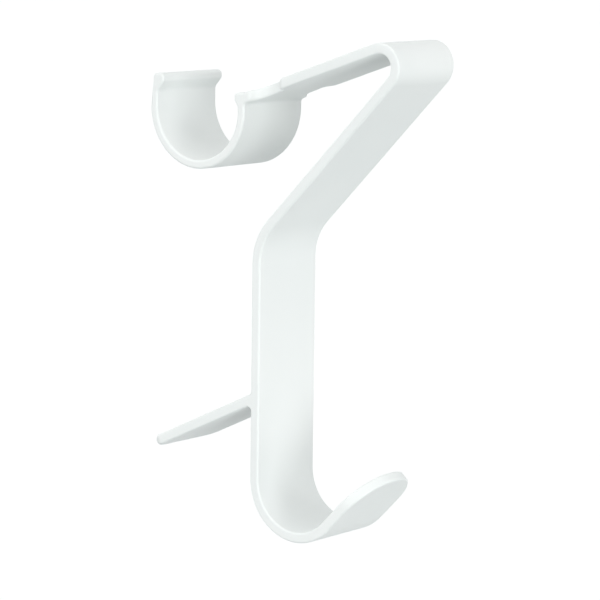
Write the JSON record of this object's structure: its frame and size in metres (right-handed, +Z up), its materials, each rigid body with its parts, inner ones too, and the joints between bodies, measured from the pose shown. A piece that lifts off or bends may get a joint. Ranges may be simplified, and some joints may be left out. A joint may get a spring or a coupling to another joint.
{
  "type": "radiator hook",
  "caption": "Clip-on hook for a radiator tube: a springy open clip, a strap that bends over and down into a hanging hook, and a spur that keeps it off the wall side.",
  "frame": {"origin": "on the axis of the tube that the clip holds, halfway along the clip", "axes": "+X along the tube, -Y to the front of the hook, +Z up"},
  "size_m": [0.022, 0.074, 0.1183],
  "materials": {
    "white_plastic": "plain white, semi-gloss moulded surface"
  },
  "bodies": {
    "root": {"radiator_hook": "white_plastic"}
  },
  "joints": []
}
